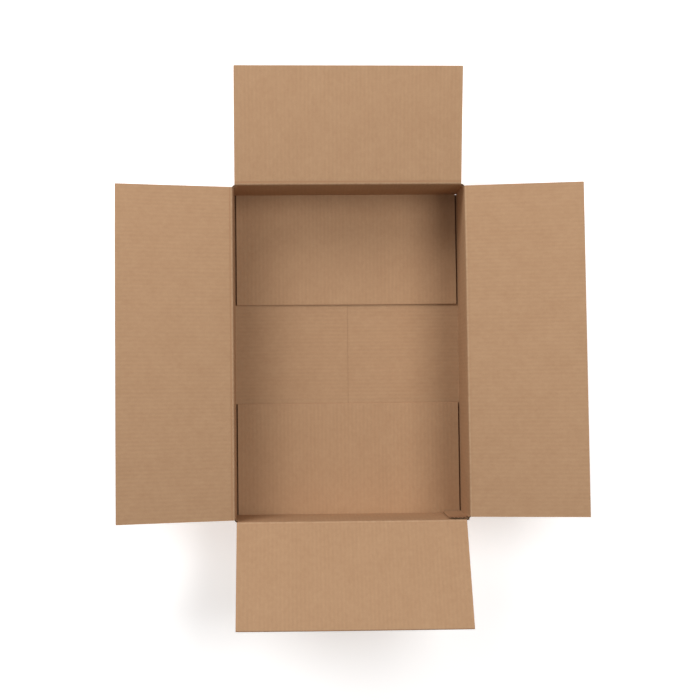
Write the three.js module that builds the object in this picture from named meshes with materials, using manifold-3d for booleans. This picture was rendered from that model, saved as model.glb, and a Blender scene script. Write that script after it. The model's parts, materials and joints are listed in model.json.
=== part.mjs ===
// A plain corrugated shipping carton, open at the top, with its four top flaps folded outward.
// Millimetres and degrees, +Z up. The carton stands on z = 0 with its centre over the origin.
// Its long side runs along Y, and +Y is the back.
import * as THREE from "three";
import { mergeVertices } from "three/addons/utils/BufferGeometryUtils.js";
import Module from "manifold-3d";

const wasm = await Module();
wasm.setup();

// Inside of the closed carton
const insideWidth = 380;
const insideLength = 548;
const insideHeight = 130;

// Board: two liners on a fluted medium
const board = 3;
const liner = 0.3;
const medium = 0.25;
const flutePitch = 6.5;

// Folds
const foldInside = 0.2; // radius on the inner side of a fold
const creaseThickness = 2; // board left where a top fold has been crushed
const creaseRun = 3.5; // from the fold line to board of full thickness
const creaseBand = 9; // from the fold line to where the open flutes begin
const foldGap = 0.3; // between a top flap's root and the wall below it

// Flaps and the slots that part them
const meetingGap = 1; // between the free edges of two long flaps
const layGap = 0.3; // between flaps that lie on one another
const slotOnLong = 1.8; // from the corner fold to the end of a long flap
const slotOnEnd = 4.2; // from the corner fold to the side of an end flap
const slotAtLap = 0.6; // from the lap's fold to the end of the long flap beside it
const slotPast = 1; // how far a bottom slot runs past the bend

// Glued corner: the lap continues the right wall and lies inside the front wall
const lapWidth = 32;
const lapFoldRadius = 2;
const rawEdgeInset = 1; // front wall's cut edge, from the outer face of the right wall

// Tape that closes the bottom seam and turns up both end walls
const tapeWidth = 50;
const tapeThickness = 0.2;
const tapeTail = 50;
const tapeSlack = 0.2; // past the ends of the bottom flaps, where the tape starts to rise
const tapeTouch = 4.5; // height at which it meets the end wall

// Rise of each top flap above the horizontal, and the lowest that one hangs below it
const riseLeft = 15.8;
const riseRight = 12.6;
const riseBack = 13.3;
const riseFront = 30.4;
const hangBelow = 45;

// Segments of a fold's quarter arc
const arcSegments = 5;

// Places that follow from these sizes
const outerX = insideWidth / 2 + board;
const outerY = insideLength / 2 + board;
const foldX = outerX - board / 2;
const foldY = outerY - board / 2;
const lapFoldY = insideLength / 2 - board / 2;
const foldOutside = foldInside + board;
const flapLength = foldX - meetingGap / 2;
const longBottom = tapeThickness;
const endBottom = longBottom + board + layGap;
const endFold = endBottom + board + insideHeight + board / 2;
const longFold = endFold + board + layGap;
const longEnd = foldY - slotOnLong;
const longEndAtLap = lapFoldY - slotAtLap;
const endSide = foldX - slotOnEnd;
const cornerLow = endBottom + foldOutside + slotPast;
const cornerHigh = endFold - creaseRun - foldGap;

const up = new THREE.Vector3(0, 0, 1);
const radians = THREE.MathUtils.degToRad;

const boardMaterial = new THREE.MeshStandardMaterial({ color: 0xb8936f, roughness: 0.92, metalness: 0 });
const tapeMaterial = new THREE.MeshStandardMaterial({ color: 0xa67c52, roughness: 0.35, metalness: 0 });

// The four sides. start and end are where a flap begins and ends along the fold, which runs
// along outward x up.
const sides = {
  left: {
    outward: new THREE.Vector3(-1, 0, 0),
    outer: outerX,
    bottom: longBottom,
    fold: longFold,
    start: -longEnd,
    end: longEnd,
    rise: riseLeft,
  },
  right: {
    outward: new THREE.Vector3(1, 0, 0),
    outer: outerX,
    bottom: longBottom,
    fold: longFold,
    start: -longEnd,
    end: longEndAtLap,
    rise: riseRight,
  },
  back: {
    outward: new THREE.Vector3(0, 1, 0),
    outer: outerY,
    bottom: endBottom,
    fold: endFold,
    start: -endSide,
    end: endSide,
    rise: riseBack,
  },
  front: {
    outward: new THREE.Vector3(0, -1, 0),
    outer: outerY,
    bottom: endBottom,
    fold: endFold,
    start: -endSide,
    end: endSide,
    rise: riseFront,
  },
};

function foldDirection(side) {
  return side.outward.clone().cross(up);
}

// A geometry as a solid that can be joined and cut.
function toSolid(geometry) {
  const bare = geometry.clone();
  bare.deleteAttribute("normal");
  bare.deleteAttribute("uv");
  const merged = mergeVertices(bare, 1e-4);
  return new wasm.Manifold(
    new wasm.Mesh({
      numProp: 3,
      vertProperties: merged.getAttribute("position").array,
      triVerts: new Uint32Array(merged.index.array),
    }),
  );
}

function toGeometry(solid) {
  const mesh = solid.getMesh();
  const geometry = new THREE.BufferGeometry();
  geometry.setAttribute("position", new THREE.BufferAttribute(mesh.vertProperties, 3));
  geometry.setIndex(new THREE.BufferAttribute(mesh.triVerts, 1));
  const flat = geometry.toNonIndexed();
  flat.computeVertexNormals();
  return flat;
}

// A section drawn in the directions x and y, pushed along x cross y from one distance to another.
function extrude(shape, x, y, from, to) {
  const geometry = new THREE.ExtrudeGeometry(shape, {
    depth: to - from,
    bevelEnabled: false,
    curveSegments: arcSegments,
  });
  geometry.translate(0, 0, from);
  geometry.applyMatrix4(new THREE.Matrix4().makeBasis(x, y, x.clone().cross(y)));
  return geometry;
}

// Height of the wall's sloped top beside the fold line, at a distance outward of it. The slope
// clears the root of the flap when the flap hangs at its lowest.
function slopedTop(outward) {
  const taper = Math.atan((board - creaseThickness) / 2 / creaseRun);
  const slope = radians(hangBelow) + taper;
  const clear = (creaseThickness / 2) * Math.cos(taper) + foldGap;
  return -clear / Math.cos(slope) - outward * Math.tan(slope);
}

// Section of a wall and the bottom flap folded in from its foot. x is the distance from the
// carton's middle, y the height.
function panelSection(side) {
  const inner = side.outer - board;
  const middle = side.outer - board / 2;
  const freeEdge = middle - flapLength;
  const foot = side.bottom;
  const crest = side.fold - creaseThickness / 2 - foldGap;
  const slope = radians(hangBelow) + Math.atan((board - creaseThickness) / 2 / creaseRun);
  const crestOut = (slopedTop(0) + creaseThickness / 2 + foldGap) / Math.tan(slope);
  const shape = new THREE.Shape();
  shape.moveTo(freeEdge, foot);
  shape.lineTo(side.outer - foldOutside, foot);
  shape.absarc(side.outer - foldOutside, foot + foldOutside, foldOutside, -Math.PI / 2, 0, false);
  shape.lineTo(side.outer, side.fold + slopedTop(board / 2));
  shape.lineTo(middle + crestOut, crest);
  shape.lineTo(middle - creaseThickness / 2, crest);
  shape.lineTo(inner, side.fold - creaseRun - foldGap);
  shape.absarc(inner - foldInside, foot + board + foldInside, foldInside, 0, -Math.PI / 2, true);
  shape.lineTo(freeEdge, foot + board);
  return shape;
}

function panel(side) {
  return toSolid(extrude(panelSection(side), side.outward, up, side.start, side.end));
}

// Plan of the four walls between the slots, with the glued lap inside the front wall. The fold of
// the lap and the cut edge of the front wall meet outside in a narrow groove.
function wallsPlan() {
  const cornerX = outerX - foldOutside;
  const cornerY = outerY - foldOutside;
  const innerX = insideWidth / 2;
  const innerY = insideLength / 2;
  const cutEdge = outerX - rawEdgeInset;
  const plan = new THREE.Shape();
  plan.moveTo(cutEdge, -outerY);
  plan.lineTo(cutEdge, -innerY);
  plan.absarc(outerX - lapFoldRadius, lapFoldRadius - innerY, lapFoldRadius, -Math.PI / 2, 0, false);
  plan.absarc(cornerX, cornerY, foldOutside, 0, Math.PI / 2, false);
  plan.absarc(-cornerX, cornerY, foldOutside, Math.PI / 2, Math.PI, false);
  plan.absarc(-cornerX, -cornerY, foldOutside, Math.PI, Math.PI * 1.5, false);
  const inside = new THREE.Path();
  inside.moveTo(-innerX, -innerY);
  inside.lineTo(innerX - lapWidth, -innerY);
  inside.lineTo(innerX - lapWidth, board - innerY);
  inside.lineTo(innerX, board - innerY);
  inside.lineTo(innerX, innerY);
  inside.lineTo(-innerX, innerY);
  plan.holes.push(inside);
  return plan;
}

// Walls, bottom flaps and lap: one sheet, folded and glued at one corner.
function cartonBody() {
  const east = new THREE.Vector3(1, 0, 0);
  const north = new THREE.Vector3(0, 1, 0);
  const walls = toSolid(extrude(wallsPlan(), east, north, cornerLow, cornerHigh));
  const folded = Object.values(sides).map(panel);
  return toGeometry(folded.reduce((joined, next) => joined.add(next), walls));
}

// A top flap without its flutes: crushed to a thin rounded edge at the fold, then of full board.
function flapSheet(side) {
  const half = board / 2;
  const section = new THREE.Shape();
  section.moveTo(flapLength, -half);
  section.lineTo(flapLength, half);
  section.lineTo(creaseRun, half);
  section.absarc(0, 0, creaseThickness / 2, Math.PI / 2, Math.PI * 1.5, false);
  section.lineTo(creaseRun, -half);
  return toSolid(extrude(section, side.outward, up, side.start, side.end));
}

// One flute as seen on a cut edge: a triangle that stands on one liner and points at the other.
function flute(centre, upright) {
  const core = board / 2 - liner;
  const facing = upright ? 1 : -1;
  const cell = new THREE.Shape();
  cell.moveTo(centre - flutePitch / 2 + medium, -facing * core);
  cell.lineTo(centre + flutePitch / 2 - medium, -facing * core);
  cell.lineTo(centre, facing * (core - medium / 2));
  return cell;
}

// The hollows of a top flap's flutes, from the crease band out past the cut edge.
function fluteHollows(side) {
  const span = side.end - side.start;
  const count = Math.floor((span - flutePitch / 2 - medium) / flutePitch);
  const first = (side.start + side.end - (count - 0.5) * flutePitch) / 2;
  const cells = [];
  for (let i = 0; i < count; i++) {
    cells.push(flute(first + i * flutePitch, true));
    cells.push(flute(first + (i + 0.5) * flutePitch, false));
  }
  return toSolid(extrude(cells, foldDirection(side), up, -flapLength - board, -creaseBand));
}

function flap(name, side) {
  const mesh = new THREE.Mesh(toGeometry(flapSheet(side).subtract(fluteHollows(side))), boardMaterial);
  mesh.name = name;
  const hinge = new THREE.Group();
  hinge.position.copy(side.outward).multiplyScalar(side.outer - board / 2);
  hinge.position.z = side.fold;
  hinge.quaternion.setFromAxisAngle(foldDirection(side), radians(side.rise));
  hinge.add(mesh);
  return hinge;
}

// Tape under the seam, rising at each end to lie on the outer face of the end wall.
function bottomTape() {
  const leaves = longEnd + tapeSlack;
  const section = new THREE.Shape();
  const outside = [
    [leaves + tapeThickness / 2, 0],
    [outerY + tapeThickness, tapeTouch - tapeThickness / 2],
    [outerY + tapeThickness, tapeTail],
  ];
  const inside = [
    [outerY, tapeTail],
    [outerY, tapeTouch],
    [leaves, tapeThickness],
  ];
  const half = outside.concat(inside);
  const mirrored = half.map(([y, z]) => [-y, z]).reverse();
  section.setFromPoints(half.concat(mirrored).map(([y, z]) => new THREE.Vector2(y, z)));
  const north = new THREE.Vector3(0, 1, 0);
  return extrude(section, north, up, -tapeWidth / 2, tapeWidth / 2);
}

const carton = new THREE.Group();

const body = new THREE.Mesh(cartonBody(), boardMaterial);
body.name = "carton_body";
carton.add(body);

const tape = new THREE.Mesh(bottomTape(), tapeMaterial);
tape.name = "bottom_tape";
carton.add(tape);

carton.add(flap("top_flap_left", sides.left));
carton.add(flap("top_flap_right", sides.right));
carton.add(flap("top_flap_back", sides.back));
carton.add(flap("top_flap_front", sides.front));

export default carton;
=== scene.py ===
# A corrugated carton seen from above, its bottom closed and its four top flaps folded outward.
# Metres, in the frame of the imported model: +Z up, Y along the long side, +Y at the back.
import json
import math

import bpy
import numpy as np
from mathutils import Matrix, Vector, noise


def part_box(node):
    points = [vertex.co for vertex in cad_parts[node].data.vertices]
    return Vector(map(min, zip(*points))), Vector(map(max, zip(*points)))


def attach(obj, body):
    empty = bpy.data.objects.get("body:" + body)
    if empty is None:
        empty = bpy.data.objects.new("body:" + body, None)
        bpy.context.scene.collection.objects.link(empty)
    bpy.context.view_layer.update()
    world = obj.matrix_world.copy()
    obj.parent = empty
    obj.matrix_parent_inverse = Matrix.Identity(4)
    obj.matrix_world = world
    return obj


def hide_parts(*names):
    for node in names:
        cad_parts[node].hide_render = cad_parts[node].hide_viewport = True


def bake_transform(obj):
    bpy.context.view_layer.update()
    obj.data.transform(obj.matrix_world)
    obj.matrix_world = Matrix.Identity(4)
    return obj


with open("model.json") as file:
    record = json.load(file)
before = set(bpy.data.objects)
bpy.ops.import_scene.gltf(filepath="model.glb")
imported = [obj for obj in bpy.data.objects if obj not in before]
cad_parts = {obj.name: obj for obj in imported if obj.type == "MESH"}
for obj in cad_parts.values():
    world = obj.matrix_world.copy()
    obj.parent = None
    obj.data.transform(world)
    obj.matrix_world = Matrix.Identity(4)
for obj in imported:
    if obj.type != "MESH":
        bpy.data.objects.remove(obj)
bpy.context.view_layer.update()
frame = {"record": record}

MM = 0.001

# Board, folds, slots and lap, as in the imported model
BOARD = 3 * MM
LINER = 0.3 * MM
MEDIUM = 0.25 * MM
PITCH = 6.5 * MM
FOLD_OUTSIDE = 3.2 * MM  # outer radius of a foot or an upright fold
CRUSHED = 2 * MM  # thickness of the board on a top fold
TAPE = 0.2 * MM  # room for the tape between the carton and the floor
LAY_GAP = 0.3 * MM  # between the long bottom flaps and the end flaps that lie on them
SLOT_ON_LONG = 1.8 * MM
SLOT_ON_END = 4.2 * MM
SLOT_AT_LAP = 0.6 * MM
LAP_WIDTH = 32 * MM
LAP_FOLD = 2 * MM
RAW_EDGE_INSET = 1 * MM
SEAM = 0.5 * MM  # how much shorter a flap is than half the width between the folds
CLOSED_SEAM = 0.1 * MM  # from the middle to a long bottom flap's edge, where the two are pushed together

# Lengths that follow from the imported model
JOINTS = {joint["name"]: joint for joint in frame["record"]["behaviour"]["joints"]}
OUTER_X, OUTER_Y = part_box("carton_body")[1][:2]
INNER_X = OUTER_X - BOARD
INNER_Y = OUTER_Y - BOARD
LONG_FOLD = JOINTS["left_flap_fold"]["pos_m"][2]
END_FOLD = JOINTS["back_flap_fold"]["pos_m"][2]
FOLD_X = OUTER_X - BOARD / 2
FOLD_Y = OUTER_Y - BOARD / 2
FLAP_LENGTH = FOLD_X - SEAM
END_FLAP_EDGE = FOLD_Y - FLAP_LENGTH  # from the middle to the cut edge of an end flap in the bottom
LONG_END = FOLD_Y - SLOT_ON_LONG
LAP_END = INNER_Y - BOARD / 2 - SLOT_AT_LAP
END_SIDE = FOLD_X - SLOT_ON_END
LONG_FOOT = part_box("bottom_tape")[0][2] + TAPE
END_FOOT = LONG_FOOT + BOARD + LAY_GAP
CORNER_LOW = END_FOOT + FOLD_OUTSIDE + 1 * MM  # where the right side's upright folds and the lap begin
CORNER_HIGH = END_FOLD - 3.8 * MM  # where all upright folds and the lap end

# The board's mesh
COLUMNS_PER_FLUTE = 5
COLUMNS_PER_RIPPLE = 12  # columns between the places where the sheet's unevenness is worked out
RELIEF = 0.07 * MM  # how far a liner dips between flutes
SMOOTH_ANGLE = math.radians(40)
UP = np.array([0.0, 0.0, 1.0])

# Rows of a wall's mesh, as shares of the bottom flap and of the wall
FLAT_SHARES = (0, 0.003, 0.012, 0.1, 0.3, 0.6, 0.9, 0.98, 0.986, 1)
WALL_SHARES = (0.08, 0.3, 0.55, 0.8, 0.95, 1)
FOOT_STEPS = 5
PRESS_WIDTH = 0.8 * MM  # of the pressed band along a bottom flap's cut edge

# A top fold, and the rows of a flap's mesh in distances from the middle of its fold
FOLD_RADIUS = 2 * MM
FOLD_STEPS = 7
CRUSH_FADES = (1.2 * MM, 3.4 * MM)  # the board is thinnest up to the first and full from the second
WEAR_WIDTH = 1.3 * MM
GROOVE = 0.35 * MM  # depth of the score beside a fold
GROOVE_AT = 3.6 * MM
GROOVE_WIDTH = 0.9 * MM
EDGE_PRESS = 0.7  # depth of a flap's pressed cut edge, in parts of GROOVE; the edge gets as much painted shade
EDGE_WIDTH = 0.7 * MM
SEAM_BELOW_FOLD = 4 * MM  # where a top flap's mesh takes over from the wall's
BELOW_FOLD = (SEAM_BELOW_FOLD, 3.2 * MM, 2.4 * MM, 1.9 * MM)
NEAR_FOLD = (1.9, 2.4, 2.9, 3.4, 3.9, 4.6, 5.6, 7.5)
ACROSS_FLAP = (12, 30, 60, 95, 130, 160, 180)
BEFORE_EDGE = (3, 1, 0.6, 0.3, 0)
STATIONS = [d * MM for d in NEAR_FOLD + ACROSS_FLAP] + [FLAP_LENGTH - d * MM for d in BEFORE_EDGE]

# How far each wall stands from its place in the model, in mm along X or Y: middle of the rim, skew
# of the rim, middle of the foot, skew of the foot. A skew is added at the front, taken off at the back.
WALL_SHIFTS = {
    "right": (1.7, 1.8, 1.2, 1.2),
    "left": (-0.5, 0.0, -2.6, 0.0),
    "back": (0.9, 0.0, 0.0, 0.0),
    "front": (-2.4, 0.0, 0.0, 0.0),
}
SHIFT_FADES = (0.5, 0.95)  # shares of the way out from the middle between which a wall's shift sets in
PAST_CORNER = 1 * MM  # how far the left panel runs on into its corners, so that no hole is left there
PINCH = 2.4 * MM  # how far each corner of the rim is crushed inward
PINCH_REACH = 10 * MM
PINCH_FADES = (0.55, 0.97)  # shares of the height between which the crushing sets in

# What the two pairs of sides have in common. start and end run along outward x up, as a flap's fold
# does, edge is the distance from the middle to the bottom flap's cut edge, pressed is how deep that
# edge is pressed, which darkens it with as much painted shade, and lift is how far it is raised.
LONG_PAIR = {
    "outer": OUTER_X,
    "foot": LONG_FOOT,
    "fold": LONG_FOLD,
    "start": -LONG_END,
    "end": LONG_END,
    "edge": CLOSED_SEAM,
    "pressed": 0.35 * GROOVE,
    "lift": 0.0,
}
END_PAIR = {
    "outer": OUTER_Y,
    "foot": END_FOOT,
    "fold": END_FOLD,
    "start": -END_SIDE,
    "end": END_SIDE,
    "edge": END_FLAP_EDGE,
    "pressed": 1.1 * GROOVE,
    "lift": 0.5 * MM,
}

# The four sides. curl, sag and twist are how far a top flap leaves its plane. cuts says in mm how far
# its cut edges stand off: at the start and at the end, from fold to tip, and along the tip, from start
# to end. score is the depth of the line beside its fold, in parts of GROOVE, and of its painted shade.
SIDES = {
    "left": {
        **LONG_PAIR,
        "outward": (-1, 0, 0),
        "curl": -1.6 * MM,
        "sag": 1.2 * MM,
        "twist": 1.5 * MM,
        "cuts": ((-0.5, 0.2), (-2.1, -1.7), (2.9, 0.8)),
        "score_shade": 1.0,
        "seed": 3.1,
    },
    "right": {
        **LONG_PAIR,
        "outward": (1, 0, 0),
        "end": LAP_END,
        "curl": 1.4 * MM,
        "sag": -1.0 * MM,
        "twist": -3.0 * MM,
        "cuts": ((-1.6, -1.0), (-0.2, -0.8), (2.3, 3.2)),
        "score_shade": 0.25,
        "seed": 11.7,
    },
    "back": {
        **END_PAIR,
        "outward": (0, 1, 0),
        "curl": -1.2 * MM,
        "sag": 0.8 * MM,
        "twist": 1.2 * MM,
        "cuts": ((0.3, -1.3), (-1.9, -1.35), (1.8, -0.1)),
        "score_shade": 1.0,
        "seed": 23.9,
    },
    "front": {
        **END_PAIR,
        "outward": (0, -1, 0),
        "curl": 1.5 * MM,
        "sag": 1.0 * MM,
        "twist": -1.0 * MM,
        "cuts": ((1.3, 2.3), (0.8, 0.5), (-3.1, -3.0)),
        "score_shade": 0.15,
        "seed": 37.3,
    },
}

# Unevenness of the sheet
FLAP_RIPPLE = 0.35 * MM
FLAP_RIPPLE_SCALE = 14
FLAP_RIPPLE_IN = 0.125  # share of a top flap's length over which its ripple sets in
FLAT_BY_FOLD = 5 * MM  # a top flap's curl, sag, twist and ripple begin beyond this
WALL_RIPPLE = 0.5 * MM
BOTTOM_RIPPLE = 0.25 * MM
WALL_RIPPLE_SCALE = 9
CUT_FADE = 40 * MM  # how far in from its ends a top flap follows its cuts

# Upright folds, cut ends and gaps. A shade value of up to 1 paints the shade of a scored groove or
# pressed edge on the board, and from 1 to 2 the near-black painted shade of a hollow.
CORNER_STEPS = 8
LAP_STEPS = 6
PLAIN_RINGS = 9
TOP_DARK = 3 * MM  # height of the painted shade at the top of an upright fold
CORNER_SHADE = 1.8
# Rows of the lap: shares of its height, and painted shade at its cut top
LAP_ROWS = ((0, 0.0), (0.01, 0.0), (0.5, 0.0), (0.99, CORNER_SHADE), (1, CORNER_SHADE))
GAP_SHADE = 1.9
GAP_RISES = (-6.5 * MM, -5.2 * MM)  # along the sheet, from the place FLAP_LENGTH
GAP_FALLS = (-2.5 * MM, 1 * MM)
GAP_BLUR = 1 * MM

# The tape under the seam
TAPE_FILM = 0.12 * MM
TAPE_COLUMNS = 15
TAPE_GLUED = 0.16 * MM  # height of the glued face over the floor
TAPE_FLAT_ROWS = 30
TAPE_FLAT_END = LONG_END + 0.3 * MM
TAPE_OFF_WALL = 0.04 * MM
TAIL_ROWS = 12
TAIL_BEND = (4.6 * MM, 6.8 * MM)  # heights of the first rows on an end wall
TAIL_LOW = 9 * MM


def rise_of(name):
    """The angle above the horizontal at which a side's top flap rests."""
    closing = JOINTS[name + "_flap_fold"]["range_deg"][1]
    return math.radians(180 - closing)


def fold_place(side):
    """The place of a side's top fold along the sheet."""
    return FLAP_LENGTH + side["fold"]


def smooth(low, high, value):
    """0 up to low, 1 from high, and a smooth step between them."""
    t = np.clip((value - low) / (high - low), 0, 1)
    return t * t * (3 - 2 * t)


def wall_shift(name, y, share):
    """How far a wall stands from its place in the model, at y and at a share of its height."""
    rim, rim_skew, foot, foot_skew = (value * MM for value in WALL_SHIFTS[name])
    along = np.clip(y / FOLD_Y, -1, 1)
    return (foot - foot_skew * along) * (1 - share) + (rim - rim_skew * along) * share


def settle(points, only=None):
    """Carry points with the walls near them and crush the rim's corners, or carry them with the one
    wall that is named."""
    moved = points.copy()
    share = np.clip(points[:, 2] / LONG_FOLD, 0, 1)
    half = (FOLD_X, FOLD_Y)
    for name in WALL_SHIFTS:
        if only in (None, name):
            outward = SIDES[name]["outward"]
            axis = 0 if outward[0] else 1
            far = points[:, axis] * outward[axis] / half[axis]
            near = smooth(*SHIFT_FADES, far)
            moved[:, axis] += near * wall_shift(name, points[:, 1], share)
    if only is None:
        size = np.abs(points)
        corner = smooth(FOLD_X - PINCH_REACH, FOLD_X, size[:, 0])
        corner = corner * smooth(FOLD_Y - PINCH_REACH, FOLD_Y, size[:, 1])
        crushed = corner * smooth(*PINCH_FADES, share) * PINCH
        moved[:, 0] -= np.sign(points[:, 0]) * crushed
        moved[:, 1] -= np.sign(points[:, 1]) * crushed
    return moved


def ripples(place, s, seed, scale):
    """Gentle unevenness over the sheet, from -1 to 1."""
    knots = s[::COLUMNS_PER_RIPPLE]
    lines = []
    for p in place:
        coarse = [noise.noise(Vector((x * scale, p * scale, seed))) for x in knots]
        lines.append(np.interp(s, knots, coarse))
    return np.stack(lines)


class Mesh:
    """Gathers closed slabs, with what the material reads at each point, and makes one object."""

    def __init__(self):
        self.points = []
        self.quads = []
        self.sheet = []
        self.wear = []
        self.score_shade = []
        self.count = 0

    def add(self, points, quads, sheet, wear, score_shade):
        self.quads.append(np.asarray(quads) + self.count)
        self.points.append(points)
        self.sheet.append(sheet)
        self.wear.append(wear)
        self.score_shade.append(score_shade)
        self.count += len(points)

    def slab(self, top, bottom, sheet, wear, score_shade):
        """A closed thin box between two grids of points, rows x columns x 3."""
        rows, columns = top.shape[:2]
        below = rows * columns
        index = np.arange(below).reshape(rows, columns)
        a, b = index[:-1, :-1], index[:-1, 1:]
        c, d = index[1:, 1:], index[1:, :-1]
        upper = np.stack([d, c, b, a], -1).reshape(-1, 4)
        lower = np.stack([a, b, c, d], -1).reshape(-1, 4) + below
        ring = np.concatenate([index[0, :-1], index[:-1, -1], index[-1, :0:-1], index[:0:-1, 0]])
        after = np.roll(ring, -1)
        sides = np.stack([after, after + below, ring + below, ring], -1)
        points = np.concatenate([top.reshape(-1, 3), bottom.reshape(-1, 3)])
        both = np.tile(sheet.reshape(-1, 3), (2, 1))
        twice = [np.tile(values.reshape(-1), 2) for values in (wear, score_shade)]
        self.add(points, np.concatenate([upper, lower, sides]), both, *twice)

    def fill(self, mesh, only):
        """Give a Blender mesh the points, settled, and the faces."""
        points = settle(np.concatenate(self.points), only)
        quads = np.concatenate(self.quads)
        mesh.vertices.add(len(points))
        mesh.vertices.foreach_set("co", points.astype(np.float32).ravel())
        mesh.loops.add(quads.size)
        mesh.loops.foreach_set("vertex_index", quads.astype(np.int32).ravel())
        mesh.polygons.add(len(quads))
        mesh.polygons.foreach_set("loop_start", np.arange(0, quads.size, 4, dtype=np.int32))
        mesh.update(calc_edges=True)
        mesh.validate()

    def label(self, mesh):
        """Give a Blender mesh the attributes that its material reads."""
        sheet = mesh.attributes.new("sheet", "FLOAT_VECTOR", "POINT")
        sheet.data.foreach_set("vector", np.concatenate(self.sheet).astype(np.float32).ravel())
        for name, values in (("wear", self.wear), ("score_shade", self.score_shade)):
            attribute = mesh.attributes.new(name, "FLOAT", "POINT")
            attribute.data.foreach_set("value", np.concatenate(values).astype(np.float32))

    def build(self, name, material, wall=None, slot="kraft_board"):
        """One object of all that was added. It settles with the named wall, or with all four."""
        mesh = bpy.data.meshes.new(name)
        self.fill(mesh, wall)
        self.label(mesh)
        mesh.polygons.foreach_set("use_smooth", np.ones(len(mesh.polygons), dtype=bool))
        mesh.set_sharp_from_angle(angle=SMOOTH_ANGLE)
        mesh.materials.append(material)
        made = bpy.data.objects.new(name, mesh)
        bpy.context.scene.collection.objects.link(made)
        return made


def row(out, height, tangent, thick, place, groove=0.0, worn=0.0):
    """One row of a path: distance out, height, angle of the path, thickness, place along the sheet,
    depth of the groove in the inner liner, and wear."""
    return (out, height, tangent, thick, place, groove, worn)


def columns_along(start, end):
    """Places along the fold, evenly spaced, with the ends kept."""
    count = round((end - start) / PITCH * COLUMNS_PER_FLUTE)
    return np.linspace(start, end, count + 1)


def board_sheet(mesh, side, path, start, end, bulge=None, cut=None, shade=None):
    """Corrugated board along a path of rows: outer liner, medium and the liner that faces into the
    carton. bulge moves it across its plane, cut moves it in its plane and shade paints shade on its inner
    face."""
    s = columns_along(start, end)
    out, height, tangent, thick, place, groove, worn = np.array(path).T[:, :, None]
    outward = np.array(side["outward"], float)
    along = np.cross(outward, UP)
    zero = np.zeros((len(path), len(s)))
    uneven = zero if bulge is None else bulge(place[:, 0], s)
    slid, longer = (zero, zero) if cut is None else cut(place[:, 0], s)

    def layer(offset):
        reach = offset + uneven
        r = out + np.sin(tangent) * reach + np.cos(tangent) * longer
        z = height - np.cos(tangent) * reach + np.sin(tangent) * longer
        return r[..., None] * outward + z[..., None] * UP + (s + slid)[..., None] * along

    wave = np.cos(2 * math.pi * s / PITCH)
    fade = RELIEF * smooth(0, PITCH / 2, np.minimum(s - start, end - s))
    fade = fade * np.clip((thick - CRUSHED) / (BOARD - CRUSHED), 0, 1)
    half = thick / 2
    outer = half - fade * (0.5 - 0.5 * wave)
    core = (half - LINER - MEDIUM / 2) * wave
    inner = -half + fade * (0.5 + 0.5 * wave) + groove
    sheet = np.stack([zero + s, zero + place, zero + side["seed"]], -1)
    wear = zero + worn
    # The inner liner's painted shade follows the depth of its groove or pressed edge, and the shade passed
    # in where that is darker.
    score_shade = zero + groove / GROOVE
    if shade is not None:
        score_shade = np.maximum(score_shade, shade(place[:, 0], s))
    mesh.slab(layer(outer), layer(half - LINER), sheet, wear, zero)
    mesh.slab(layer(core + MEDIUM / 2), layer(core - MEDIUM / 2), sheet + [0, 0, 0.5], wear, zero)
    mesh.slab(layer(inner + LINER), layer(inner), sheet + [0, 0, 1], wear, score_shade)


def wall_path(side):
    """From the bottom flap's cut edge out to the foot, round the bend and up the wall."""
    level = side["foot"] + BOARD / 2
    bend = FOLD_OUTSIDE - BOARD / 2
    turn_at = side["outer"] - FOLD_OUTSIDE
    flat = turn_at - side["edge"]
    path = []
    for share in FLAT_SHARES:
        place = flat * share
        raised = side["lift"] * (1 - share) ** 2
        pressed = side["pressed"] * (1 - float(smooth(0, PRESS_WIDTH, place)))
        path.append(row(side["edge"] + place, level + raised, 0.0, BOARD, place, pressed))
    for turned in np.linspace(0, math.pi / 2, FOOT_STEPS + 1)[1:]:
        out = turn_at + bend * math.sin(turned)
        z = level + bend * (1 - math.cos(turned))
        path.append(row(out, z, turned, BOARD, flat + bend * turned))
    foot = level + bend
    top = side["fold"] - SEAM_BELOW_FOLD
    for share in WALL_SHARES:
        up = (top - foot) * share
        place = flat + bend * math.pi / 2 + up
        path.append(row(side["outer"] - BOARD / 2, foot + up, math.pi / 2, BOARD, place))
    return path


def flap_row(side, out, height, tangent, distance, groove=0.0):
    """One row of a top flap's path, at a distance from the middle of its fold."""
    thick = CRUSHED + (BOARD - CRUSHED) * float(smooth(*CRUSH_FADES, abs(distance)))
    worn = math.exp(-((distance / WEAR_WIDTH) ** 2))
    return row(out, height, tangent, thick, fold_place(side) + distance, groove, worn)


def flap_groove(side, distance):
    """Depth of the scored groove beside a top flap's fold, and of its pressed cut edge, which sets their
    painted shade too.
    """
    score_shade = side["score_shade"] * math.exp(-(((distance - GROOVE_AT) / GROOVE_WIDTH) ** 2))
    pressed = EDGE_PRESS * float(smooth(FLAP_LENGTH - EDGE_WIDTH, FLAP_LENGTH, distance))
    return GROOVE * (score_shade + pressed)


def flap_path(side, rise):
    """From just below the fold, over its crushed line and out to the flap's cut edge."""
    middle = side["outer"] - BOARD / 2
    fold = side["fold"]
    turning = math.pi / 2 - rise
    reach = FOLD_RADIUS * math.tan(turning / 2)
    path = []
    for below in BELOW_FOLD:
        path.append(flap_row(side, middle, fold - below, math.pi / 2, -below))
    for turned in np.linspace(0, turning, FOLD_STEPS + 1):
        out = middle + FOLD_RADIUS * (1 - math.cos(turned))
        z = fold - reach + FOLD_RADIUS * math.sin(turned)
        distance = FOLD_RADIUS * (turned - turning / 2)
        path.append(flap_row(side, out, z, math.pi / 2 - turned, distance))
    for distance in STATIONS:
        out = middle + distance * math.cos(rise)
        z = fold + distance * math.sin(rise)
        path.append(flap_row(side, out, z, rise, distance, flap_groove(side, distance)))
    return path


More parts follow.
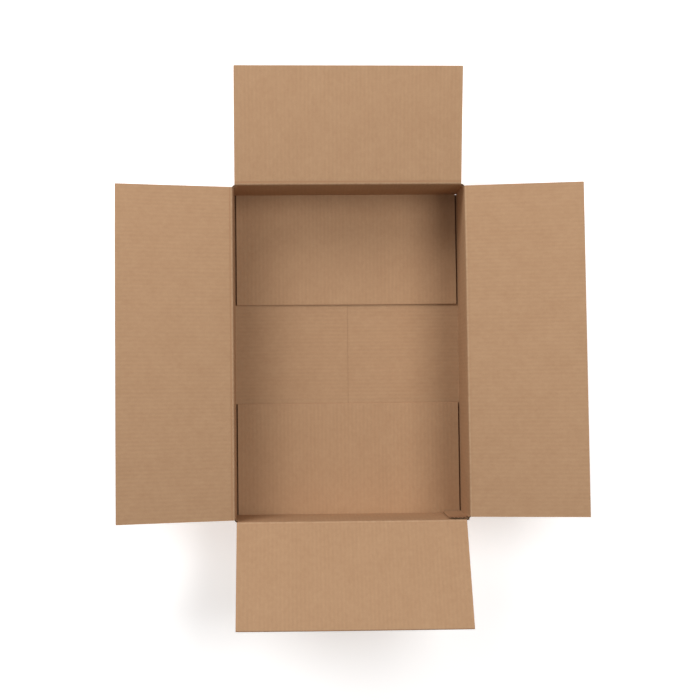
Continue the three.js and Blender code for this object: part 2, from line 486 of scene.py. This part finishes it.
def flap_bulge(side):
    """How a top flap has curled, sagged and twisted, as a distance across the sheet."""
    half = (side["end"] - side["start"]) / 2
    centre = (side["end"] + side["start"]) / 2

    def bulge(place, s):
        d = np.clip(place - fold_place(side) - FLAT_BY_FOLD, 0, None) / FLAP_LENGTH
        across = (s - centre) / half
        plane = side["curl"] * (d**2)[:, None] + side["sag"] * np.outer(d, 1 - across**2)
        plane = plane + side["twist"] * np.outer(d, across)
        ripple = FLAP_RIPPLE * ripples(place, s, side["seed"], FLAP_RIPPLE_SCALE)
        return plane + ripple * np.minimum(d / FLAP_RIPPLE_IN, 1)[:, None]

    return bulge


def flap_cut(side):
    """How far a top flap's cut edges stand off their places in the model, positive outward."""
    start_cut, end_cut, tip = (np.array(values) * MM for values in side["cuts"])

    def cut(place, s):
        d = np.clip((place - fold_place(side)) / FLAP_LENGTH, 0, 1)[:, None]
        near_start = 1 - smooth(0, CUT_FADE, s - side["start"])
        near_end = 1 - smooth(0, CUT_FADE, side["end"] - s)
        slid = near_end * (end_cut[0] + (end_cut[1] - end_cut[0]) * d)
        slid = slid - near_start * (start_cut[0] + (start_cut[1] - start_cut[0]) * d)
        share = (s - side["start"]) / (side["end"] - side["start"])
        longer = d * (tip[0] + (tip[1] - tip[0]) * share)
        return slid, longer

    return cut


def wall_bulge(side):
    """Slight unevenness of a wall and bottom flap, none at the bend and the rim."""

    def bulge(place, s):
        up_wall = np.clip((place - FLAP_LENGTH) / side["fold"], 0, 1)
        in_flap = np.clip((FLAP_LENGTH - place) / FLAP_LENGTH, 0, 1)
        amount = WALL_RIPPLE * np.sin(math.pi * up_wall) + BOTTOM_RIPPLE * np.sin(math.pi * in_flap)
        return amount[:, None] * ripples(place, s, side["seed"] + 5, WALL_RIPPLE_SCALE)

    return bulge


def gap_shade(place, s):
    """Painted shade on a long wall's foot in the narrow gap beside each end flap."""
    rising = smooth(*GAP_RISES, place - FLAP_LENGTH)
    falling = 1 - smooth(*GAP_FALLS, place - FLAP_LENGTH)
    beside = smooth(END_FLAP_EDGE - GAP_BLUR, END_FLAP_EDGE + GAP_BLUR, np.abs(s))
    return GAP_SHADE * np.outer(rising * falling, beside)


def arc(cx, cy, radius, start, end, steps):
    """Points on an arc in the plane, between two angles in degrees."""
    angles = np.radians(np.linspace(start, end, steps + 1))
    return [(cx + radius * math.cos(a), cy + radius * math.sin(a)) for a in angles]


def prism(mesh, outline, low, high, seed):
    """An upright piece of board with the given plan outline, with painted shade of a cut end at its top.
    """
    plan = np.array(outline)
    if len(plan) % 2:
        plan = np.insert(plan, 1, (plan[0] + plan[1]) / 2, axis=0)
    n = len(plan)
    levels = [*np.linspace(low, high - TOP_DARK, PLAIN_RINGS), high - TOP_DARK / 2, high]
    shades = [0.0] * PLAIN_RINGS + [CORNER_SHADE * 0.8, CORNER_SHADE]
    points = np.concatenate([np.column_stack([plan, np.full(n, z)]) for z in levels])
    quads = []
    for k in range(len(levels) - 1):
        for i in range(n):
            j = (i + 1) % n
            quads.append([k * n + i, k * n + j, (k + 1) * n + j, (k + 1) * n + i])
    lid = (len(levels) - 1) * n
    for a in range(n // 2 - 1):
        b = a + 1
        c = n - 2 - a
        d = n - 1 - a
        quads.append([a, d, c, b])
        quads.append([lid + a, lid + b, lid + c, lid + d])
    sheet = np.column_stack([points[:, 0] + points[:, 1], points[:, 2], np.full(len(points), seed)])
    mesh.add(points, quads, sheet, np.zeros(len(points)), np.repeat(shades, n))


def corner_folds():
    """The upright folds between the walls, and the cut edge beside the lap."""
    mesh = Mesh()
    quarter = [(OUTER_X, LONG_END)]
    quarter += arc(OUTER_X - FOLD_OUTSIDE, OUTER_Y - FOLD_OUTSIDE, FOLD_OUTSIDE, 0, 90, CORNER_STEPS)
    quarter += [(END_SIDE, OUTER_Y), (END_SIDE, INNER_Y), (INNER_X, INNER_Y), (INNER_X, LONG_END)]
    for sx, sy, seed in ((1, 1, 51.0), (-1, 1, 53.0), (-1, -1, 57.0)):
        outline = [(sx * x, sy * y) for x, y in quarter]
        if sx * sy < 0:
            outline.reverse()
        low = CORNER_LOW if sx > 0 else LONG_FOOT + FOLD_OUTSIDE
        prism(mesh, outline, low, CORNER_HIGH, seed)
    lap = [(INNER_X, -LAP_END), (INNER_X, -INNER_Y)]
    lap += arc(OUTER_X - LAP_FOLD, LAP_FOLD - INNER_Y, LAP_FOLD, -90, 0, LAP_STEPS)
    lap += [(OUTER_X, -LAP_END)]
    prism(mesh, lap, CORNER_LOW, CORNER_HIGH, 61.0)
    cut = OUTER_X - RAW_EDGE_INSET
    edge = [(END_SIDE, -OUTER_Y), (cut, -OUTER_Y), (cut, -INNER_Y), (END_SIDE, -INNER_Y)]
    prism(mesh, edge, CORNER_LOW, CORNER_HIGH, 67.0)
    return mesh


def glue_lap():
    """The lap that continues the right wall, lying on the inside of the front wall."""
    mesh = Mesh()
    side = dict(SIDES["front"], seed=71.0)
    path = []
    for share, shade in LAP_ROWS:
        z = CORNER_LOW + (CORNER_HIGH - CORNER_LOW) * share
        path.append(row(INNER_Y - BOARD / 2, z, math.pi / 2, BOARD, FLAP_LENGTH + z, GROOVE * shade))
    board_sheet(mesh, side, path, -INNER_X, LAP_WIDTH - INNER_X)
    return mesh


class Nodes:
    """Short calls that add and link the nodes of one material."""

    def __init__(self, name):
        self.material = bpy.data.materials.new(name)
        self.material.use_nodes = True
        self.tree = self.material.node_tree
        self.tree.nodes.clear()
        self.output = self.tree.nodes.new("ShaderNodeOutputMaterial")

    def put(self, socket, value):
        """Link a socket to another node's output, or set its value."""
        if isinstance(value, bpy.types.NodeSocket):
            self.tree.links.new(value, socket)
        else:
            socket.default_value = value

    def add(self, kind, inputs=None, **settings):
        node = self.tree.nodes.new(kind)
        for key, value in settings.items():
            setattr(node, key, value)
        for key, value in (inputs or {}).items():
            self.put(node.inputs[key], value)
        return node

    def attribute(self, name, output):
        return self.add("ShaderNodeAttribute", attribute_name=name).outputs[output]

    def math(self, operation, a, b=0.0):
        return self.add("ShaderNodeMath", {0: a, 1: b}, operation=operation).outputs[0]

    def grain(self, place, layer):
        """Noise over a place: three scales, detail and roughness."""
        scaled = self.add("ShaderNodeVectorMath", {0: place, 1: layer[:3]}, operation="MULTIPLY")
        inputs = {"Vector": scaled.outputs[0], "Scale": 1.0, "Detail": layer[3], "Roughness": layer[4]}
        return self.add("ShaderNodeTexNoise", inputs).outputs["Fac"]

    def remap(self, value, low, high, to_low, to_high):
        inputs = {"Value": value, "From Min": low, "From Max": high, "To Min": to_low, "To Max": to_high}
        return self.add("ShaderNodeMapRange", inputs).outputs["Result"]

    def spread(self, grain, to_low, to_high):
        """Noise, which stays mostly between 0.3 and 0.7, spread over a wider or narrower range."""
        return self.remap(grain, 0.3, 0.7, to_low, to_high)

    def mix(self, factor, a, b, blend="MIX"):
        node = self.add("ShaderNodeMix", data_type="RGBA", blend_type=blend)
        for index, value in ((0, factor), (6, a), (7, b)):
            self.put(node.inputs[index], value)
        return node.outputs[2]

    def surface(self, inputs):
        """Finish the material with a surface that has these inputs."""
        shader = self.add("ShaderNodeBsdfPrincipled", inputs)
        self.put(self.output.inputs["Surface"], shader.outputs[0])
        return self.material


# Colours are linear
KRAFT_LIGHT = (0.535, 0.334, 0.194, 1)
KRAFT_DARK = (0.448, 0.262, 0.146, 1)
KRAFT_WORN = (0.6, 0.41, 0.26, 1)
# Painted shade of a scored groove or pressed cut edge
KRAFT_SCORE_SHADE = (0.4, 0.2, 0.105, 1)
KRAFT_SPECK = (0.2, 0.11, 0.055, 1)
HOLLOW_SHADE = (0.045, 0.024, 0.012, 1)  # near-black painted shade where one looks into the cut ends of the flutes, and into a gap
TAPE_DARK = (0.33, 0.185, 0.085, 1)
TAPE_LIGHT = (0.4, 0.24, 0.12, 1)
WHITE = (1.0, 1.0, 1.0, 1)

STRIPE_SHADE = 0.945  # painted shade: brightness of the inner liner where it dips between flutes

# Noise layers: three scales, detail and roughness. The board's scales are along the fold, along the
# sheet and for the seed.
CLOUDS = (30, 22, 1.7, 4.0, 0.6)
BLOTCHES = (170, 120, 1.3, 3.0, 0.6)
FIBRES = (420, 2600, 1.9, 3.0, 0.65)
FINE_FIBRES = (2400, 3600, 2.3, 2.0, 0.6)
STRIPE_STRENGTH = (45, 9, 3.1, 2.0, 0.5)
SPECKS = (900, 1700, 4.7, 1.0, 0.5)
STREAKS = (900, 6, 1, 3.0, 0.6)
CRINKLES = (90, 60, 1, 4.0, 0.6)
PAPER = (3, 3, 3, 3.0, 0.6)
PAPER_MOTTLE = 0.02


def liner_colour(m, sheet, blotch, fibre):
    """Cloudy colour with fibres, painted shade in stripes between the flutes, and a few specks."""
    clouds = m.grain(sheet, CLOUDS)
    tone = m.math("ADD", m.spread(clouds, 0.0, 0.26), m.spread(blotch, 0.0, 0.36))
    tone = m.math("ADD", tone, m.spread(fibre, 0.0, 0.38))
    colour = m.mix(tone, KRAFT_DARK, KRAFT_LIGHT)
    # Painted shade in stripes between the flutes, stronger in places
    along = m.add("ShaderNodeSeparateXYZ", {0: sheet}).outputs["X"]
    flute = m.math("COSINE", m.math("MULTIPLY", along, 2 * math.pi / PITCH))
    strength = m.remap(m.grain(sheet, STRIPE_STRENGTH), 0.25, 0.75, 0.2, 1.0)
    shade = m.remap(m.math("MULTIPLY", flute, strength), -1.0, 1.0, 1.0, STRIPE_SHADE)
    stripes = m.add("ShaderNodeCombineColor", {"Red": shade, "Green": shade, "Blue": shade})
    colour = m.mix(1.0, colour, stripes.outputs[0], "MULTIPLY")
    speck = m.grain(sheet, SPECKS)
    return m.mix(m.remap(speck, 0.7, 0.78, 0.0, 0.35), colour, KRAFT_SPECK)


def marked_colour(m, colour, blotch):
    """The colour with painted shade in scored grooves, pressed edges, hollows and gaps, and worn creases
    over it.
    """
    wear = m.attribute("wear", "Fac")
    score_shade = m.attribute("score_shade", "Fac")
    # Painted shade: brown where grooves and edges are pressed, near-black in hollows and gaps.
    score_shaded = m.math("MULTIPLY", m.math("MINIMUM", score_shade, 1.0), m.spread(blotch, 0.4, 0.85))
    colour = m.mix(score_shaded, colour, KRAFT_SCORE_SHADE)
    colour = m.mix(m.remap(score_shade, 1.0, 2.0, 0.0, 1.0), colour, HOLLOW_SHADE)
    worn = m.math("MULTIPLY", wear, m.spread(blotch, 0.25, 0.75))
    return m.mix(worn, colour, KRAFT_WORN)


def kraft_board():
    """Unbleached liner, matt, with the fibres' fine relief."""
    m = Nodes("kraft_liner")
    sheet = m.attribute("sheet", "Vector")
    blotch = m.grain(sheet, BLOTCHES)
    fibre = m.grain(sheet, FIBRES)
    fine = m.grain(sheet, FINE_FIBRES)
    relief = m.math("ADD", m.math("MULTIPLY", fibre, 0.7), m.math("MULTIPLY", fine, 0.5))
    bump = m.add("ShaderNodeBump", {"Strength": 0.35, "Distance": 0.12 * MM, "Height": relief})
    return m.surface(
        {
            "Base Color": marked_colour(m, liner_colour(m, sheet, blotch, fibre), blotch),
            "Roughness": m.spread(fine, 0.82, 0.96),
            "Specular IOR Level": 0.12,
            "Normal": bump.outputs[0],
        }
    )


def tape_film():
    """Brown packing tape: a smooth film with faint lengthways streaks and small wrinkles."""
    m = Nodes("tape_film")
    place = m.attribute("sheet", "Vector")
    crinkle = m.grain(place, CRINKLES)
    bump = m.add("ShaderNodeBump", {"Strength": 0.25, "Distance": 0.3 * MM, "Height": crinkle})
    return m.surface(
        {
            "Base Color": m.mix(m.spread(m.grain(place, STREAKS), 0.0, 1.0), TAPE_DARK, TAPE_LIGHT),
            "Roughness": m.spread(crinkle, 0.24, 0.38),
            "Coat Weight": 0.3,
            "Normal": bump.outputs[0],
        }
    )


def studio_paper(name, shade, glow):
    """Matt pale studio paper that gives off a little light of its own."""
    m = Nodes(name)
    place = m.add("ShaderNodeTexCoord").outputs["Object"]
    mottle = m.spread(m.grain(place, PAPER), 0.0, 1.0)
    low = shade - PAPER_MOTTLE
    return m.surface(
        {
            "Base Color": m.mix(mottle, (low, low, low, 1), (shade, shade, shade, 1)),
            "Roughness": 0.9,
            "Emission Color": WHITE,
            "Emission Strength": glow,
        }
    )


KRAFT = kraft_board()


def make_walls():
    """Walls and bottom flaps, one object for each panel of the sheet, and the folds between them."""
    made = []
    for name, side in SIDES.items():
        mesh = Mesh()
        more = PAST_CORNER if name == "left" else 0.0
        ends = (side["start"] - more, side["end"] + more)
        shade = gap_shade if name in ("left", "right") else None
        board_sheet(mesh, side, wall_path(side), *ends, bulge=wall_bulge(side), shade=shade)
        made.append(mesh.build("panel_" + name, KRAFT))
    made.append(corner_folds().build("corner_folds", KRAFT))
    made.append(glue_lap().build("glue_lap", KRAFT))
    for piece in made:
        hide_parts("carton_body")
        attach(piece, "carton")


def make_flap(name):
    """A top flap, joined to its wall by a fold, at the angle where its hinge rests."""
    side = SIDES[name]
    rise = rise_of(name)
    mesh = Mesh()
    path = flap_path(side, rise)
    board_sheet(mesh, side, path, side["start"], side["end"], flap_bulge(side), flap_cut(side))
    piece = mesh.build("flap_" + name, KRAFT, wall=name)
    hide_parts("top_flap_" + name)
    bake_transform(piece)


def tail_rows(name, x, heights):
    """Rows of the tape's glued face up an end wall, roughly as uneven as the wall is."""
    side = SIDES[name]
    sign = side["outward"][1]
    reach = OUTER_Y + wall_bulge(side)(FLAP_LENGTH + heights, np.sort(sign * x))
    rows = []
    for z, out in zip(heights, reach):
        y = sign * (out[::sign] + TAPE_OFF_WALL)
        rows.append(np.column_stack([x, y, np.full_like(x, z)]))
    return rows


def make_tape():
    """The strip of tape under the seam, drawn tight and pressed on to both end walls."""
    lowest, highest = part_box("bottom_tape")
    x = np.linspace(lowest[0], highest[0], TAPE_COLUMNS)
    heights = np.concatenate([TAIL_BEND, np.linspace(TAIL_LOW, highest[2], TAIL_ROWS)])
    flat = []
    for y in np.linspace(-TAPE_FLAT_END, TAPE_FLAT_END, TAPE_FLAT_ROWS):
        flat.append(np.column_stack([x, np.full_like(x, y), np.full_like(x, TAPE_GLUED)]))
    front = tail_rows("front", x, heights)
    glued = np.array(front[::-1] + flat + tail_rows("back", x, heights))
    run = np.gradient(glued, axis=0)
    normal = np.cross(run, (1.0, 0.0, 0.0))
    normal /= np.linalg.norm(normal, axis=2, keepdims=True)
    travelled = np.cumsum(np.linalg.norm(run, axis=2), axis=0)
    sheet = np.stack([glued[..., 0], travelled, np.full_like(travelled, 83.0)], -1)
    none = np.zeros_like(travelled)
    mesh = Mesh()
    mesh.slab(glued + normal * TAPE_FILM, glued, sheet, none, none)
    piece = mesh.build("seam_tape", tape_film(), slot="packing_tape")
    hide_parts("bottom_tape")
    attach(piece, "carton")


# Studio
STUDIO_RADIUS = 30
BACKDROP_HEIGHT = 8
STUDIO_SIDES = 64
FLOOR_SHADE = 0.95
FLOOR_GLOW = 0.5
BACKDROP_SHADE = 0.4
BACKDROP_GLOW = 0.42

# Soft white panels that face the carton: place and watts
LIGHTS = {
    "key": ((-0.95, 1.4, 1.35), 25.0),
    "right_panel": ((1.01, 0.2, 2.17), 26.5),
    "left_panel": ((-1.01, 0.2, 2.17), 9.5),
}
LIGHT_SIZE = (1.4, 1.0)
LIGHT_AIM = (0, 0, 0.1)
SURROUND = 0.05

# Camera: nearly straight above, a little to the left of and in front of the middle, turned by degrees
CAMERA_PLACE = (-0.0882, -0.0657, 2.7738)
CAMERA_TURN = (1.5135, -1.8898, -0.549)
CAMERA_LENS = 82.78
CAMERA_SENSOR = 36
CAMERA_FAR = 50


def make_studio():
    """A wide pale floor, and a pale wall far off all round it."""
    n = STUDIO_SIDES
    angles = np.linspace(0, 2 * math.pi, n + 1)[:-1]
    low = [(STUDIO_RADIUS * math.cos(a), STUDIO_RADIUS * math.sin(a), 0.0) for a in angles]
    high = [(x, y, float(BACKDROP_HEIGHT)) for x, y, _ in low]
    floor = bpy.data.meshes.new("floor")
    floor.from_pydata(low, [], [tuple(range(n))])
    floor.materials.append(studio_paper("studio_floor", FLOOR_SHADE, FLOOR_GLOW))
    wall = bpy.data.meshes.new("backdrop")
    wall.from_pydata(low + high, [], [(i, (i + 1) % n, n + (i + 1) % n, n + i) for i in range(n)])
    wall.materials.append(studio_paper("studio_backdrop", BACKDROP_SHADE, BACKDROP_GLOW))
    for data in (floor, wall):
        piece = bpy.data.objects.new(data.name, data)
        bpy.context.scene.collection.objects.link(piece)


def area_light(name, place, watts):
    """A white panel that faces the carton."""
    data = bpy.data.lights.new(name, "AREA")
    data.shape = "RECTANGLE"
    data.size, data.size_y = LIGHT_SIZE
    data.energy = watts
    light = bpy.data.objects.new(name, data)
    light.location = place
    light.rotation_euler = (Vector(LIGHT_AIM) - Vector(place)).to_track_quat("-Z", "Y").to_euler()
    bpy.context.scene.collection.objects.link(light)


def make_lights():
    """A soft key from the back left, two panels overhead, and a weak even surround."""
    for name, (place, watts) in LIGHTS.items():
        area_light(name, place, watts)
    world = bpy.data.worlds.new("surround")
    world.use_nodes = True
    background = world.node_tree.nodes["Background"]
    background.inputs["Color"].default_value = WHITE
    background.inputs["Strength"].default_value = SURROUND
    bpy.context.scene.world = world
    bpy.context.scene.view_settings.view_transform = "Standard"


def make_camera():
    """The camera that took the photograph."""
    data = bpy.data.cameras.new("camera")
    data.sensor_width = CAMERA_SENSOR
    data.lens = CAMERA_LENS
    data.clip_end = CAMERA_FAR
    camera = bpy.data.objects.new("camera", data)
    camera.location = CAMERA_PLACE
    camera.rotation_euler = [math.radians(a) for a in CAMERA_TURN]
    bpy.context.scene.collection.objects.link(camera)
    bpy.context.scene.camera = camera


make_camera()
make_walls()
for flap_name in SIDES:
    make_flap(flap_name)
make_tape()
make_studio()
make_lights()
